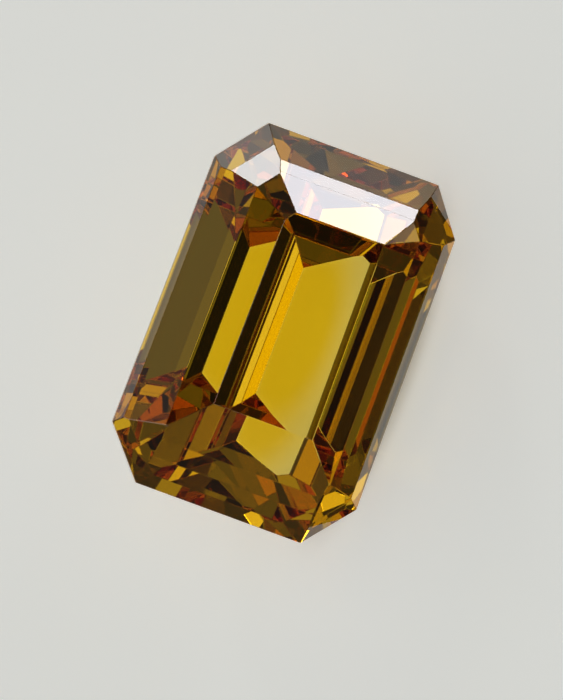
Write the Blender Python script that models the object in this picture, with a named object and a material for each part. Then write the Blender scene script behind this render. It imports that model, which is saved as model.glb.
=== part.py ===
"""Emerald-cut zircon gemstone, lying on one of its pavilion facets.

The stone is cut the way a lapidary cuts it: a block is trimmed by one flat plane for
each facet. It is cut with its table up (+Z) and its long axis along Y, then turned to
rest on the wide bottom facet of its right-hand side.

Lengths below are millimetres. The finished object is in metres, +Z up.
"""
from math import hypot

import bmesh
import bpy
from mathutils import Matrix, Vector

MM = 0.001                    # metres in one millimetre

GIRDLE_THICKNESS = 0.14
TABLE_HEIGHT = 2.00           # table above the girdle's upper edge
STEP_HEIGHT = 1.35            # where most of the crown's middle steps meet its inner ones
KEEL_DEPTH = 3.50             # keel line below the girdle's lower edge

BLOCK_SIZE = 44.0             # the rough, well clear of every facet
SNAP = 0.002                  # a corner this close to a cutting plane counts as on it

# The girdle outline seen from above, corner by corner, clockwise from the top left:
# 11.0 long by 7.5 wide. The stone is hand cut, so its bottom end is a little wider.
GIRDLE_CORNERS = (
    (-2.55, 5.47), (2.70, 5.52), (3.72, 4.21), (3.76, -4.04),
    (2.56, -5.49), (-2.54, -5.49), (-3.79, -4.08), (-3.69, 4.04),
)
SIDE_NAMES = (
    "top", "top_right", "right", "bottom_right",
    "bottom", "bottom_left", "left", "top_left",
)

# Where each crown step ends: (inset from the girdle, height above it), outermost first.
CROWN_CORNER = ((0.40, 0.49), (1.23, STEP_HEIGHT), (2.35, TABLE_HEIGHT))
CROWN_STEPS = {
    "top": ((0.89, 1.05), (1.22, 1.31), (2.18, TABLE_HEIGHT)),
    "top_right": CROWN_CORNER,
    "right": ((0.37, 0.55), (1.23, STEP_HEIGHT), (2.30, TABLE_HEIGHT)),
    "bottom_right": CROWN_CORNER,
    "bottom": ((0.89, 0.73), (1.43, 1.12), (2.91, TABLE_HEIGHT)),
    "bottom_left": CROWN_CORNER,
    "left": ((0.20, 0.37), (1.23, STEP_HEIGHT), (2.19, TABLE_HEIGHT)),
    "top_left": ((0.52, 0.63), (1.23, STEP_HEIGHT), (2.35, TABLE_HEIGHT)),
}

# Where each pavilion step ends: (inset from the girdle, depth below it), outermost first.
PAVILION_CORNER = ((1.15, 1.55), (2.73, 2.98), (3.61, KEEL_DEPTH))
PAVILION_STEPS = {
    "top": ((1.09, 1.49), (2.75, 2.97), (3.56, KEEL_DEPTH)),
    "top_right": PAVILION_CORNER,
    "right": ((1.35, 2.12), (2.02, 2.77), (3.73, KEEL_DEPTH)),
    "bottom_right": PAVILION_CORNER,
    "bottom": ((1.09, 1.49), (3.16, 3.23), (3.56, KEEL_DEPTH)),
    "bottom_left": PAVILION_CORNER,
    "left": ((1.46, 1.55), (3.12, 3.00), (3.73, KEEL_DEPTH)),
    "top_left": PAVILION_CORNER,
}
RESTING_SIDE = "right"        # the stone lies on the innermost pavilion facet of this side

STONE_COLOUR = (0.58, 0.34, 0.035, 1.0)
STONE_ROUGHNESS = 0.03
STONE_IOR = 1.95


def side_of_girdle(index):
    """Return a side's outward direction in plan and its distance from the middle."""
    start = Vector(GIRDLE_CORNERS[index])
    end = Vector(GIRDLE_CORNERS[(index + 1) % len(GIRDLE_CORNERS)])
    along = (end - start).normalized()
    outward = Vector((-along.y, along.x))
    return outward, outward.dot(start)


def step_planes(outward, distance, steps, up):
    """Return a (normal, distance) plane for each step of one side; up is 1 or -1."""
    planes = []
    inset, rise = 0.0, 0.0
    for next_inset, next_rise in steps:
        run, climb = next_inset - inset, next_rise - rise
        slant = hypot(run, climb)
        flat_part, up_part = climb / slant, run / slant
        normal = Vector((outward.x * flat_part, outward.y * flat_part, up * up_part))
        height = GIRDLE_THICKNESS / 2 + rise
        planes.append((normal, flat_part * (distance - inset) + up_part * height))
        inset, rise = next_inset, next_rise
    return planes


def facet_planes():
    """Return every facet of the stone as an outward normal and a distance in mm."""
    planes = {"table": (Vector((0, 0, 1)), GIRDLE_THICKNESS / 2 + TABLE_HEIGHT)}
    for index, side in enumerate(SIDE_NAMES):
        outward, distance = side_of_girdle(index)
        planes[side + "_girdle"] = (outward.to_3d(), distance)
        crown = step_planes(outward, distance, CROWN_STEPS[side], up=1)
        pavilion = step_planes(outward, distance, PAVILION_STEPS[side], up=-1)
        for number, plane in enumerate(crown, start=1):
            planes[f"{side}_crown_{number}"] = plane
        for number, plane in enumerate(pavilion, start=1):
            planes[f"{side}_pavilion_{number}"] = plane
    return planes


def cut_facet(bm, normal, distance):
    """Grind away what lies beyond one plane and close the cut with a flat face."""
    bmesh.ops.bisect_plane(
        bm, geom=bm.verts[:] + bm.edges[:] + bm.faces[:], dist=SNAP,
        plane_co=normal * distance, plane_no=normal, clear_outer=True,
    )
    open_edges = [edge for edge in bm.edges if edge.is_boundary]
    bmesh.ops.holes_fill(bm, edges=open_edges, sides=0)


def cut_stone(planes):
    """Return the faceted mesh, in metres, in the pose in which it was cut."""
    bm = bmesh.new()
    bmesh.ops.create_cube(bm, size=BLOCK_SIZE)
    for normal, distance in planes.values():
        cut_facet(bm, normal, distance)
    bmesh.ops.recalc_face_normals(bm, faces=bm.faces)
    bmesh.ops.scale(bm, vec=(MM, MM, MM), verts=bm.verts)
    mesh = bpy.data.meshes.new("zircon")
    bm.to_mesh(mesh)
    bm.free()
    return mesh


def stone_material():
    """Return the golden see-through zircon."""
    material = bpy.data.materials.new("zircon_crystal")
    material.use_nodes = True
    shader = material.node_tree.nodes["Principled BSDF"]
    shader.inputs["Base Color"].default_value = STONE_COLOUR
    shader.inputs["Roughness"].default_value = STONE_ROUGHNESS
    shader.inputs["Metallic"].default_value = 0.0
    shader.inputs["IOR"].default_value = STONE_IOR
    shader.inputs["Transmission Weight"].default_value = 1.0
    material.diffuse_color = STONE_COLOUR
    return material


def lay_down(stone, down):
    """Turn the stone until one facet's normal points down, and set it on the ground."""
    turn = down.rotation_difference(Vector((0, 0, -1))).to_matrix().to_4x4()
    corners = [turn @ vertex.co for vertex in stone.data.vertices]
    lowest = Vector(min(corner[axis] for corner in corners) for axis in range(3))
    highest = Vector(max(corner[axis] for corner in corners) for axis in range(3))
    middle = (lowest + highest) / 2
    to_ground = Matrix.Translation((-middle.x, -middle.y, -lowest.z))
    stone.matrix_world = to_ground @ turn


def make_stone():
    """Cut the stone, give it its material and lay it on its resting facet."""
    planes = facet_planes()
    stone = bpy.data.objects.new("zircon", cut_stone(planes))
    stone.data.materials.append(stone_material())
    bpy.context.collection.objects.link(stone)
    down, _ = planes[f"{RESTING_SIDE}_pavilion_{len(PAVILION_STEPS[RESTING_SIDE])}"]
    lay_down(stone, down)
    return stone


def clear_scene():
    for thing in list(bpy.data.objects):
        bpy.data.objects.remove(thing, do_unlink=True)


clear_scene()
make_stone()
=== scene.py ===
"""Looks for the loose emerald-cut zircon: its see-through crystal, the floor and the light.

The file is laid out as a Blender add-on and is run as a script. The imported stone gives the
facets; here their junctions are worn, and the crystal gets its colour, polish and scuffs.
"""
import math

import bpy
from mathutils import Matrix, Vector


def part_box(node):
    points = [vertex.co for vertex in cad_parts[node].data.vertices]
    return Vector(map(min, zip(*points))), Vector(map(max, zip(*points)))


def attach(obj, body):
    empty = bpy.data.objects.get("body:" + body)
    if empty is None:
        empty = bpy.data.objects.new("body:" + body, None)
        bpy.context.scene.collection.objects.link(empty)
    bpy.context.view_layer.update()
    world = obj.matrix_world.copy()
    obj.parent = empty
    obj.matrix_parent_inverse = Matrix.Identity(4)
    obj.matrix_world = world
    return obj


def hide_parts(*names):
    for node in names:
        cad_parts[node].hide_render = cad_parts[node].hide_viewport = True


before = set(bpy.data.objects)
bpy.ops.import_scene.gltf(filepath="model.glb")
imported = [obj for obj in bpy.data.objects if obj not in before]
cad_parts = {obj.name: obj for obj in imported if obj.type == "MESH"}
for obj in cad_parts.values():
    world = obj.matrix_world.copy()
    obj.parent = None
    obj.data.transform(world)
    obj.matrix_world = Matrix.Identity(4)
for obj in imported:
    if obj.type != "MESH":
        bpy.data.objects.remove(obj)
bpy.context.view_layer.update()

bl_info = {
    "name": "Loose zircon",
    "version": (1, 0, 0),
    "blender": (4, 5, 0),
    "location": "3D View > Sidebar > Zircon",
    "description": "An emerald-cut zircon on a pale floor in soft studio light",
    "category": "Add Mesh",
}

MM = 0.001
BENCH = 1000.0               # the stone is worked on in millimetres, then shrunk to metres

PHOTO_WIDTH = 563            # pixels
PIXELS_PER_MM = 34.855       # at the stone
LONG_AXIS_TILT = math.radians(20.4)    # the stone's long axis, clockwise from upright in the image
SENSOR_WIDTH = 36.0
AIM_RIGHT = -0.154           # millimetres from the middle of the stone's box to the image's middle
AIM_UP = -0.476
NEAREST_SEEN = 0.001         # metres in front of the lens

# Working the mesh, at bench size.
MERGE_DISTANCE = 0.03        # corners closer than this, in millimetres, are one corner
FLAT_ANGLE = math.radians(0.5)         # triangles that turn by less than this are one facet
JUNCTION_ANGLE = math.radians(1)       # edges that turn by more than this are rubbed
FACET_SLOT = 0               # material slots that tell faces apart until their finish is noted
JUNCTION_SLOT = 1
FACING_UP = 0.5              # least upward part of the normal of a face that may be the table
UPRIGHT = 0.05               # most that a girdle face's normal may lean along the table's

# The crystal, and what each kind of mark adds to its roughness.
CRYSTAL_IOR = 1.95
SCUFF_ROUGHNESS = 0.01
SPECK_ROUGHNESS = 0.05
RUBBED_ROUGHNESS = 0.15

# Marks and zones begin where their pattern passes a threshold, and rise from there at a slope.
SCUFF_THRESHOLD = 0.52
SCUFF_SLOPE = 4.0
SPECK_RADIUS = 0.12          # in cells of the pattern
SPECK_SLOPE = 12.0
ZONE_THRESHOLD = 0.35
ZONE_STRETCH = (1.0, 0.2, 1.0)         # zones are drawn out along the stone's long axis

# The floor.
FLOOR_SIZE = 6.0             # metres
FLOOR_DROP = 0.02            # millimetres below the stone, so that the two don't share a plane
FLOOR_ROUGHNESS = 0.6
CLOUD_SCALE = 90.0
CLOUD_DARKEST = 0.985        # the floor's colour varies between these shares of itself
CLOUD_LIGHTEST = 1.01
PAINTED_PATCH_FADE = (0.55, 1.35)    # a patch of painted light or shade on the floor fades out between these shares of its size

# Colours of light.
WHITE = (1.0, 1.0, 1.0)
COOL = (0.93, 0.93, 0.99)
WARM = (0.84, 1.38, 0.90)

# Each panel's name, azimuth, elevation, width and height in degrees as the stone sees them,
# colour and brightness, distance in metres, and what sees it. The cards are nearly black.
PANELS = (
    ("floor_light", 218, 60, 90, 90, WHITE, 0.42, 1.2, "floor"),
    ("lamp_far", 74, 11, 12, 9, COOL, 7.4, 0.8, "stone floor"),
    ("lamp_left", 130, 24, 9, 9, WHITE, 6.2, 0.8, "stone floor"),
    ("lamp_left_low", 133, 12, 12, 10, WHITE, 1.2, 0.85, "stone"),
    ("lamp_above", 350, 89, 6, 5, WHITE, 1.25, 0.8, "stone"),
    ("strip_right", 355, 2, 16, 6, WARM, 1.9, 0.8, "through"),
    ("strip_step", 357, 52.6, 18, 5, WHITE, 0.2, 0.85, "stone"),
    ("strip_back", 32, 3, 16, 6, WHITE, 0.5, 0.8, "stone"),
    ("lamp_back", 53, 31, 9, 6, WHITE, 1.1, 0.8, "stone"),
    ("lamp_back_low", 27, 13, 10, 8, WHITE, 0.9, 0.8, "stone"),
    ("lamp_back_soft", 76, 33, 18, 10, WHITE, 0.45, 0.85, "stone"),
    ("lamp_beside", 9, 41, 6, 6, WHITE, 0.9, 0.8, "stone"),
    ("lamp_back_high", 70, 56, 14, 12, WHITE, 0.7, 0.85, "stone"),
    ("lamp_front", 284, 34, 12, 10, WHITE, 0.6, 0.8, "stone"),
    ("lamp_front_high", 302, 50, 16, 10, WHITE, 0.8, 0.8, "stone"),
    ("lamp_side", 150, 7, 16, 10, WHITE, 0.7, 0.8, "stone"),
    ("soft_above", 355, 73, 60, 27, WHITE, 0.14, 0.95, "stone"),
    ("key_left", 222, 40, 30, 30, WHITE, 1.0, 1.1, "stone"),
    ("card_right", 357, 36, 50, 44, WHITE, 0.01, 1.0, "stone"),
    ("card_left", 180, 43, 36, 36, WHITE, 0.01, 1.0, "stone"),
    ("card_above", 188, 73, 50, 34, WHITE, 0.01, 1.0, "stone"),
    ("mirror_left", 179, 34, 34, 16, WHITE, 0.14, 0.9, "mirror"),
    ("card_mirror", 0, 58, 24, 20, WHITE, 0.01, 0.9, "mirror"),
)

# Painted shade: dark cards lying on the floor, out of the camera's sight, darken the floor in the
# stone's mirror images
# and through it: left, right, front and back edge and height in millimetres, brightness, and what sees
# it.
PAINTED_SHADE_CARDS = (
    ("shade_card_beside", 5, 400, -140, 140, 0.05, 0.02, "mirror"),
    ("shade_card_out_left", -3000, -15, -3000, 3000, 0.03, 0.03, "through"),
    ("shade_card_out_front", -15, 3000, -3000, -15, 0.03, 0.12, "through"),
)

# Painted light and shade in the floor's glow under the stone: a painted pool of light on the lamps'
# side, a painted golden caustic where the stone touches it and a painted shadow under the overhang:
# (middle along X, middle along Y, half width, half length) in mm.
PAINTED_LIGHT_POOL_PATCH = (-1.3, 0.0, 1.8, 4.0)
PAINTED_CAUSTIC_PATCH = (-0.9, 0.1, 1.3, 3.3)
PAINTED_SHADOW_PATCH = (2.1, 0.0, 1.1, 4.6)
PAINTED_LIGHT_POOL_GAIN = 0.55
PAINTED_SHADOW_LOSS = 0.85
PAINTED_CAUSTIC_TINT = (0.82, 0.66, 0.05)


class StoneSettings(bpy.types.PropertyGroup):
    """What a user may change on the stone."""

    junction_wear: bpy.props.FloatProperty(
        name="Junction wear", description="Width rubbed off where two facets meet",
        default=0.012 * MM, min=0.0, max=0.05 * MM, precision=6, unit="LENGTH",
    )
    absorption_colour: bpy.props.FloatVectorProperty(
        name="Absorption colour", description="What the crystal lets through",
        default=(0.9475, 0.835, 0.0425), size=3, min=0.0, max=1.0, subtype="COLOR",
    )
    absorption_density: bpy.props.FloatProperty(
        name="Absorption density", description="How strongly a metre of crystal absorbs",
        default=400.0, min=0.0, max=2000.0,
    )
    zone_tint: bpy.props.FloatVectorProperty(
        name="Zone tint", description="Tint of the darker growth zones",
        default=(0.985, 0.955, 0.90), size=3, min=0.0, max=1.0, subtype="COLOR",
    )
    polish_roughness: bpy.props.FloatProperty(
        name="Polish roughness", description="Roughness of a clean polished facet",
        default=0.004, min=0.0, max=0.3, subtype="FACTOR",
    )
    girdle_roughness: bpy.props.FloatProperty(
        name="Girdle roughness", description="Roughness of the ground girdle",
        default=0.30, min=0.0, max=1.0, subtype="FACTOR",
    )


class StageSettings(bpy.types.PropertyGroup):
    """What a user may change on the floor, the lamps and the camera."""

    floor_colour: bpy.props.FloatVectorProperty(
        name="Floor colour", description="Pale floor under the stone",
        default=(0.82, 0.83, 0.79), size=3, min=0.0, max=1.0, subtype="COLOR",
    )
    floor_glow: bpy.props.FloatProperty(
        name="Floor glow", description="Light that comes up through the cloudy floor",
        default=0.55, min=0.0, max=2.0,
    )
    lamp_level: bpy.props.FloatProperty(
        name="Lamp level", description="Scales the brightness of every lamp",
        default=1.0, min=0.0, max=10.0,
    )
    fill_strength: bpy.props.FloatProperty(
        name="Fill strength", description="Brightness of the room around the stone",
        default=0.05, min=0.0, max=5.0,
    )
    camera_distance: bpy.props.FloatProperty(
        name="Camera distance", description="From the stone to the lens",
        default=0.2, min=0.05, max=2.0, unit="LENGTH",
    )
    camera_lean: bpy.props.FloatProperty(
        name="Camera lean", description="How far the camera stands off the vertical, towards +X",
        default=math.radians(12.52), min=0.0, max=math.radians(80), subtype="ANGLE",
    )


def deselect_all():
    """Leave edit mode and deselect every object."""
    if bpy.context.mode != "OBJECT":
        bpy.ops.object.mode_set(mode="OBJECT")
    bpy.ops.object.select_all(action="DESELECT")


def work_on(piece):
    """Make one object the only one selected, and the active one."""
    deselect_all()
    piece.select_set(True)
    bpy.context.view_layer.objects.active = piece


def resize_mesh(piece, factor):
    """Scale a piece's mesh about the origin."""
    work_on(piece)
    bpy.ops.object.mode_set(mode="EDIT")
    bpy.ops.mesh.select_all(action="SELECT")
    bpy.ops.transform.resize(value=(factor, factor, factor), center_override=(0, 0, 0))
    bpy.ops.object.mode_set(mode="OBJECT")


def facets_of_packed_stone():
    """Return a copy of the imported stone, in bench size, with one face for each facet."""
    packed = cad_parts["zircon"]
    stone = bpy.data.objects.new("cut_stone", packed.data.copy())
    bpy.context.collection.objects.link(stone)
    stone.data.materials.clear()
    resize_mesh(stone, BENCH)
    bpy.ops.object.mode_set(mode="EDIT")
    bpy.ops.mesh.select_all(action="SELECT")
    bpy.ops.mesh.remove_doubles(threshold=MERGE_DISTANCE)
    bpy.ops.mesh.dissolve_limited(angle_limit=FLAT_ANGLE)
    bpy.ops.mesh.faces_shade_flat()
    bpy.ops.object.mode_set(mode="OBJECT")
    return stone


def wear_junctions(stone, width):
    """Rub every facet junction a little; the narrow new faces get the junctions' slot."""
    for slot_name in ("facets", "junctions"):
        stone.data.materials.append(bpy.data.materials.new(slot_name))
    work_on(stone)
    bevel = stone.modifiers.new("rubbed_junctions", "BEVEL")
    bevel.width = width
    bevel.segments = 1
    bevel.limit_method = "ANGLE"
    bevel.angle_limit = JUNCTION_ANGLE
    bevel.material = JUNCTION_SLOT
    bpy.ops.object.modifier_apply(modifier=bevel.name)


def note_finishes(stone):
    """Write each face's finish: rubbed for a worn junction, ground for the girdle.

    The girdle's faces stand upright to the table, which is the largest face that looks up;
    one pavilion facet is larger still, but it looks down.
    """
    mesh = stone.data
    rubbed = mesh.attributes.new("rubbed", "FLOAT", "FACE")
    ground = mesh.attributes.new("ground", "FLOAT", "FACE")
    facing_up = [face for face in mesh.polygons if face.normal.z > FACING_UP]
    table = max(facing_up, key=lambda face: face.area)
    for face in mesh.polygons:
        rubbed.data[face.index].value = float(face.material_index == JUNCTION_SLOT)
        upright = abs(face.normal.dot(table.normal)) < UPRIGHT
        ground.data[face.index].value = float(upright and face.material_index == FACET_SLOT)
    mesh.polygons.foreach_set("material_index", [FACET_SLOT] * len(mesh.polygons))
    mesh.materials.clear()


def new_group(name, inputs, outputs):
    """Return an empty shader node group with its sockets, and its input and output nodes."""
    group = bpy.data.node_groups.new(name, "ShaderNodeTree")
    for socket_name, kind, value in inputs:
        socket = group.interface.new_socket(name=socket_name, in_out="INPUT", socket_type=kind)
        socket.default_value = value
    for socket_name, kind in outputs:
        group.interface.new_socket(name=socket_name, in_out="OUTPUT", socket_type=kind)
    return group, group.nodes.new("NodeGroupInput"), group.nodes.new("NodeGroupOutput")


def maths(tree, operation, first, second, clamp=False):
    """Add a Math node to a tree; each operand is a socket or a number."""
    node = tree.nodes.new("ShaderNodeMath")
    node.operation = operation
    node.use_clamp = clamp
    for socket, value in zip(node.inputs, (first, second)):
        if isinstance(value, bpy.types.NodeSocket):
            tree.links.new(value, socket)
        else:
            socket.default_value = value
    return node.outputs["Value"]


def handling_marks_group():
    """Return the group that makes fine scuffs and dust specks on a polished surface."""
    group, given, result = new_group(
        "handling_marks",
        [("Scratch Scale", "NodeSocketFloat", 900.0), ("Speck Scale", "NodeSocketFloat", 2600.0)],
        [("Scuffs", "NodeSocketFloat"), ("Specks", "NodeSocketFloat")],
    )
    place = group.nodes.new("ShaderNodeTexCoord")
    smears = group.nodes.new("ShaderNodeTexNoise")
    smears.inputs["Detail"].default_value = 5.0
    smears.inputs["Roughness"].default_value = 0.6
    specks = group.nodes.new("ShaderNodeTexVoronoi")
    specks.feature = "F1"
    group.links.new(place.outputs["Object"], smears.inputs["Vector"])
    group.links.new(place.outputs["Object"], specks.inputs["Vector"])
    group.links.new(given.outputs["Scratch Scale"], smears.inputs["Scale"])
    group.links.new(given.outputs["Speck Scale"], specks.inputs["Scale"])
    patchy = maths(group, "SUBTRACT", smears.outputs["Fac"], SCUFF_THRESHOLD)
    group.links.new(maths(group, "MULTIPLY", patchy, SCUFF_SLOPE, clamp=True), result.inputs["Scuffs"])
    near = maths(group, "SUBTRACT", SPECK_RADIUS, specks.outputs["Distance"])
    group.links.new(maths(group, "MULTIPLY", near, SPECK_SLOPE, clamp=True), result.inputs["Specks"])
    return group


def growth_zones_group():
    """Return the group that makes the faint drawn-out zones a crystal grows in."""
    group, given, result = new_group(
        "growth_zones",
        [("Zone Scale", "NodeSocketFloat", 600.0), ("Contrast", "NodeSocketFloat", 2.0)],
        [("Zones", "NodeSocketFloat")],
    )
    place = group.nodes.new("ShaderNodeTexCoord")
    drawn_out = group.nodes.new("ShaderNodeVectorMath")
    drawn_out.operation = "MULTIPLY"
    drawn_out.inputs[1].default_value = ZONE_STRETCH
    zones = group.nodes.new("ShaderNodeTexNoise")
    zones.inputs["Detail"].default_value = 2.0
    group.links.new(place.outputs["Object"], drawn_out.inputs[0])
    group.links.new(drawn_out.outputs["Vector"], zones.inputs["Vector"])
    group.links.new(given.outputs["Zone Scale"], zones.inputs["Scale"])
    above = maths(group, "SUBTRACT", zones.outputs["Fac"], ZONE_THRESHOLD)
    group.links.new(maths(group, "MULTIPLY", above, given.outputs["Contrast"], clamp=True),
                    result.inputs["Zones"])
    return group


def crystal_material(settings):
    """Return the golden see-through crystal; its colour comes from the depth of the stone."""
    material = bpy.data.materials.new("zircon_crystal")
    material.use_nodes = True
    tree = material.node_tree
    shader = tree.nodes["Principled BSDF"]
    output = tree.nodes["Material Output"]
    shader.inputs["Metallic"].default_value = 0.0
    shader.inputs["IOR"].default_value = CRYSTAL_IOR
    shader.inputs["Transmission Weight"].default_value = 1.0
    zones = tree.nodes.new("ShaderNodeGroup")
    zones.node_tree = growth_zones_group()
    tint = tree.nodes.new("ShaderNodeMix")
    tint.data_type = "RGBA"
    tint.inputs["A"].default_value = (1.0, 1.0, 1.0, 1.0)
    tint.inputs["B"].default_value = (*settings.zone_tint, 1.0)
    tree.links.new(zones.outputs["Zones"], tint.inputs["Factor"])
    tree.links.new(tint.outputs["Result"], shader.inputs["Base Color"])
    marks = tree.nodes.new("ShaderNodeGroup")
    marks.node_tree = handling_marks_group()
    rubbed = tree.nodes.new("ShaderNodeAttribute")
    rubbed.attribute_name = "rubbed"
    ground = tree.nodes.new("ShaderNodeAttribute")
    ground.attribute_name = "ground"
    rough = maths(tree, "MULTIPLY_ADD", marks.outputs["Scuffs"], SCUFF_ROUGHNESS)
    rough.node.inputs[2].default_value = settings.polish_roughness
    for mask, added in (
        (marks.outputs["Specks"], SPECK_ROUGHNESS),
        (rubbed.outputs["Fac"], RUBBED_ROUGHNESS),
        (ground.outputs["Fac"], settings.girdle_roughness),
    ):
        rough = maths(tree, "ADD", rough, maths(tree, "MULTIPLY", mask, added))
    tree.links.new(rough, shader.inputs["Roughness"])
    depth = tree.nodes.new("ShaderNodeVolumeAbsorption")
    depth.inputs["Color"].default_value = (*settings.absorption_colour, 1.0)
    depth.inputs["Density"].default_value = settings.absorption_density
    tree.links.new(depth.outputs["Volume"], output.inputs["Volume"])
    return material


class ZIRCON_OT_stone(bpy.types.Operator):
    """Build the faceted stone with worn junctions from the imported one, and dress it"""

    bl_idname = "zircon.stone"
    bl_label = "Zircon Stone"

    def execute(self, context):
        settings = context.scene.zircon_stone
        stone = facets_of_packed_stone()
        wear_junctions(stone, settings.junction_wear * BENCH)
        note_finishes(stone)
        resize_mesh(stone, 1 / BENCH)
        stone.data.materials.append(crystal_material(settings))
        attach(stone, "root")
        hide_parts("zircon")
        return {"FINISHED"}


def emission_material(name, colour, strength):
    """Return the material of a glowing panel, or of a dark card at a low strength."""
    material = bpy.data.materials.new(name)
    material.use_nodes = True
    tree = material.node_tree
    tree.nodes.clear()
    glow = tree.nodes.new("ShaderNodeEmission")
    glow.inputs["Color"].default_value = (*colour, 1.0)
    glow.inputs["Strength"].default_value = strength
    output = tree.nodes.new("ShaderNodeOutputMaterial")
    tree.links.new(glow.outputs["Emission"], output.inputs["Surface"])
    return material


def show_only_to(panel, seen_by):
    """Hide a panel from the camera and from every kind of light path that seen_by doesn't name."""
    panel.visible_camera = False
    panel.visible_shadow = False
    panel.visible_diffuse = "floor" in seen_by
    panel.visible_glossy = "stone" in seen_by or "mirror" in seen_by
    panel.visible_transmission = "stone" in seen_by or "through" in seen_by


def hang_panel(name, azimuth, elevation, width, height, colour, strength, distance, seen_by):
    """Add a plane that faces the stone.

    Angles are in degrees, the azimuth from +X and the elevation from the floor. The text
    seen_by names what it lights: the floor, the stone, only the stone's mirror images
    (mirror), or only what is seen through the stone (through).
    """
    around, up = math.radians(azimuth), math.radians(elevation)
    towards = Vector((math.cos(around) * math.cos(up), math.sin(around) * math.cos(up), math.sin(up)))
    deselect_all()
    bpy.ops.mesh.primitive_plane_add(size=1)
    panel = bpy.context.object
    panel.name = name
    across = 2 * distance * math.tan(math.radians(width / 2))
    tall = 2 * distance * math.tan(math.radians(height / 2))
    turn = towards.to_track_quat("Z", "Y").to_matrix().to_4x4()
    size = Matrix.Diagonal((across, tall, 1, 1))
    panel.matrix_world = Matrix.Translation(towards * distance) @ turn @ size
    bpy.ops.object.transform_apply(location=True, rotation=True, scale=True)
    panel.data.materials.append(emission_material(name, colour, strength))
    show_only_to(panel, seen_by)


def painted_light_patch_mask(tree, place, patch):
    """Return a socket that is 1 inside an oval patch of painted light or shade on the floor and fades
    to 0 outside it.
    """
    along_x, along_y, half_width, half_length = patch
    shift = tree.nodes.new("ShaderNodeVectorMath")
    shift.operation = "SUBTRACT"
    shift.inputs[1].default_value = (along_x * MM, along_y * MM, 0.0)
    stretch = tree.nodes.new("ShaderNodeVectorMath")
    stretch.operation = "MULTIPLY"
    stretch.inputs[1].default_value = (1 / (half_width * MM), 1 / (half_length * MM), 0.0)
    reach = tree.nodes.new("ShaderNodeVectorMath")
    reach.operation = "LENGTH"
    fade = tree.nodes.new("ShaderNodeMapRange")
    fade.interpolation_type = "SMOOTHSTEP"
    fade.inputs["From Min"].default_value, fade.inputs["From Max"].default_value = PAINTED_PATCH_FADE
    fade.inputs["To Min"].default_value, fade.inputs["To Max"].default_value = 1.0, 0.0
    tree.links.new(place, shift.inputs[0])
    tree.links.new(shift.outputs["Vector"], stretch.inputs[0])
    tree.links.new(stretch.outputs["Vector"], reach.inputs[0])
    tree.links.new(reach.outputs["Value"], fade.inputs["Value"])
    return fade.outputs["Result"]


def floor_material(colour, glow):
    """Return the cloudy pale floor, with a faint light from below, and in that glow a painted pool of
    light, a painted golden caustic and a painted shadow under the stone.
    """
    material = bpy.data.materials.new("pale_floor")
    material.use_nodes = True
    tree = material.node_tree
    shader = tree.nodes["Principled BSDF"]
    shader.inputs["Roughness"].default_value = FLOOR_ROUGHNESS
    place = tree.nodes.new("ShaderNodeTexCoord").outputs["Object"]
    clouds = tree.nodes.new("ShaderNodeTexNoise")
    clouds.inputs["Scale"].default_value = CLOUD_SCALE
    clouds.inputs["Detail"].default_value = 3.0
    cloudy = tree.nodes.new("ShaderNodeMix")
    cloudy.data_type = "RGBA"
    cloudy.inputs["A"].default_value = (*[part * CLOUD_DARKEST for part in colour], 1.0)
    cloudy.inputs["B"].default_value = (*[part * CLOUD_LIGHTEST for part in colour], 1.0)
    tree.links.new(place, clouds.inputs["Vector"])
    tree.links.new(clouds.outputs["Fac"], cloudy.inputs["Factor"])
    tree.links.new(cloudy.outputs["Result"], shader.inputs["Base Color"])
    # Painted golden caustic: the floor's glow turns golden where the stone touches it.
    glow_colour_with_painted_caustic = tree.nodes.new("ShaderNodeMix")
    glow_colour_with_painted_caustic.data_type = "RGBA"
    glow_colour_with_painted_caustic.inputs["A"].default_value = (*colour, 1.0)
    painted_caustic_colour = [part * passed for part, passed in zip(colour, PAINTED_CAUSTIC_TINT)]
    glow_colour_with_painted_caustic.inputs["B"].default_value = (*painted_caustic_colour, 1.0)
    tree.links.new(painted_light_patch_mask(tree, place, PAINTED_CAUSTIC_PATCH), glow_colour_with_painted_caustic.inputs["Factor"])
    tree.links.new(glow_colour_with_painted_caustic.outputs["Result"], shader.inputs["Emission Color"])
    # Painted pool of light under the stone on the lamps' side, and painted shadow under the overhang,
    # in the glow's strength.
    glow_with_painted_pool_and_shadow = maths(tree, "MULTIPLY_ADD", painted_light_patch_mask(tree, place, PAINTED_LIGHT_POOL_PATCH), glow * PAINTED_LIGHT_POOL_GAIN)
    glow_with_painted_pool_and_shadow.node.inputs[2].default_value = glow
    painted_shadow_share = maths(tree, "MULTIPLY", painted_light_patch_mask(tree, place, PAINTED_SHADOW_PATCH), PAINTED_SHADOW_LOSS)
    glow_with_painted_pool_and_shadow = maths(tree, "MULTIPLY", glow_with_painted_pool_and_shadow, maths(tree, "SUBTRACT", 1.0, painted_shadow_share))
    tree.links.new(glow_with_painted_pool_and_shadow, shader.inputs["Emission Strength"])
    return material


def lay_floor(settings):
    """Add the floor just under the stone."""
    deselect_all()
    bpy.ops.mesh.primitive_plane_add(size=FLOOR_SIZE, location=(0, 0, -FLOOR_DROP * MM))
    floor = bpy.context.object
    floor.name = "pale_floor"
    floor.data.materials.append(floor_material(settings.floor_colour, settings.floor_glow))


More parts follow.
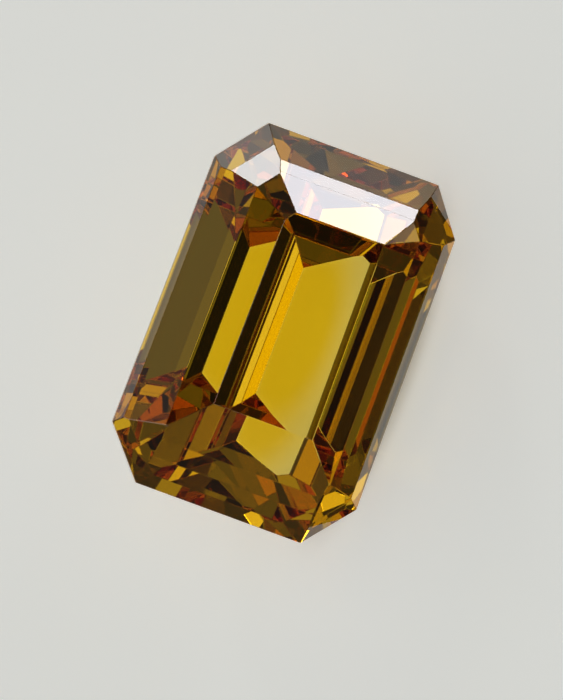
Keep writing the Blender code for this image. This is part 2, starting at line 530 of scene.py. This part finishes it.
def lay_painted_shade_cards():
    """Lay dark cards on the floor as painted shade that only the stone's facets show; the camera
    misses them.
    """
    for name, left, right, front, back, height, strength, seen_by in PAINTED_SHADE_CARDS:
        deselect_all()
        bpy.ops.mesh.primitive_plane_add(size=1)
        card = bpy.context.object
        card.name = name
        middle = Vector(((left + right) / 2, (front + back) / 2, height)) * MM
        size = Matrix.Diagonal(((right - left) * MM, (back - front) * MM, 1, 1))
        card.matrix_world = Matrix.Translation(middle) @ size
        bpy.ops.object.transform_apply(location=True, rotation=True, scale=True)
        card.data.materials.append(emission_material(name, WHITE, strength))
        show_only_to(card, seen_by)


def fill_the_room(settings):
    """Light the scene evenly from all round."""
    world = bpy.data.worlds.new("soft_room")
    world.use_nodes = True
    background = world.node_tree.nodes["Background"]
    background.inputs["Color"].default_value = (1.0, 1.0, 1.0, 1.0)
    background.inputs["Strength"].default_value = settings.fill_strength
    bpy.context.scene.world = world


def place_camera(settings):
    """Look down at the stone as the photo does, through a long lens."""
    lean = settings.camera_lean
    towards_camera = Vector((math.sin(lean), 0, math.cos(lean)))
    stone_right = Vector((math.cos(lean), 0, -math.sin(lean)))
    stone_top = Vector((0, 1, 0))
    tilt = LONG_AXIS_TILT
    right = stone_right * math.cos(tilt) + stone_top * math.sin(tilt)
    up = stone_top * math.cos(tilt) - stone_right * math.sin(tilt)
    low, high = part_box("zircon")
    aim = (Vector(low) + Vector(high)) / 2 + right * (AIM_RIGHT * MM) + up * (AIM_UP * MM)
    place = aim + towards_camera * settings.camera_distance
    data = bpy.data.cameras.new("camera")
    data.sensor_fit = "HORIZONTAL"
    data.sensor_width = SENSOR_WIDTH
    data.lens = SENSOR_WIDTH * settings.camera_distance / (PHOTO_WIDTH / PIXELS_PER_MM * MM)
    data.clip_start = NEAREST_SEEN
    camera = bpy.data.objects.new("camera", data)
    bpy.context.collection.objects.link(camera)
    turn = Matrix((right, up, towards_camera)).transposed().to_4x4()
    camera.matrix_world = Matrix.Translation(place) @ turn
    bpy.context.scene.camera = camera


def set_light_paths():
    """Let light cross the stone many times and colour the floor under it."""
    scene = bpy.context.scene
    scene.cycles.max_bounces = 40
    scene.cycles.transmission_bounces = 40
    scene.cycles.glossy_bounces = 24
    scene.cycles.diffuse_bounces = 4
    scene.cycles.volume_bounces = 2
    scene.cycles.caustics_reflective = True
    scene.cycles.caustics_refractive = True
    scene.cycles.blur_glossy = 0.0
    scene.cycles.sample_clamp_indirect = 12.0
    scene.view_settings.view_transform = "Standard"
    scene.view_settings.look = "None"


class ZIRCON_OT_stage(bpy.types.Operator):
    """Add the floor, the dark cards, the panels, the room light and the camera"""

    bl_idname = "zircon.stage"
    bl_label = "Floor, Light and Camera"

    def execute(self, context):
        settings = context.scene.zircon_stage
        lay_floor(settings)
        lay_painted_shade_cards()
        for name, azimuth, elevation, width, height, colour, strength, distance, seen_by in PANELS:
            hang_panel(name, azimuth, elevation, width, height, colour,
                       strength * settings.lamp_level, distance, seen_by)
        fill_the_room(settings)
        place_camera(settings)
        set_light_paths()
        return {"FINISHED"}


class ZIRCON_PT_panel(bpy.types.Panel):
    """Lists the steps and their settings"""

    bl_label = "Zircon"
    bl_idname = "ZIRCON_PT_panel"
    bl_space_type = "VIEW_3D"
    bl_region_type = "UI"
    bl_category = "Zircon"

    def draw(self, context):
        for operator, settings in (
            (ZIRCON_OT_stone, context.scene.zircon_stone),
            (ZIRCON_OT_stage, context.scene.zircon_stage),
        ):
            self.layout.operator(operator.bl_idname)
            for name in settings.bl_rna.properties.keys():
                if name not in ("rna_type", "name"):
                    self.layout.prop(settings, name)


CLASSES = (StoneSettings, StageSettings, ZIRCON_OT_stone, ZIRCON_OT_stage, ZIRCON_PT_panel)


def register():
    for one in CLASSES:
        bpy.utils.register_class(one)
    bpy.types.Scene.zircon_stone = bpy.props.PointerProperty(type=StoneSettings)
    bpy.types.Scene.zircon_stage = bpy.props.PointerProperty(type=StageSettings)


def unregister():
    del bpy.types.Scene.zircon_stage
    del bpy.types.Scene.zircon_stone
    for one in reversed(CLASSES):
        bpy.utils.unregister_class(one)


def main():
    register()
    bpy.ops.zircon.stone()
    bpy.ops.zircon.stage()


if __name__ == "__main__":
    main()
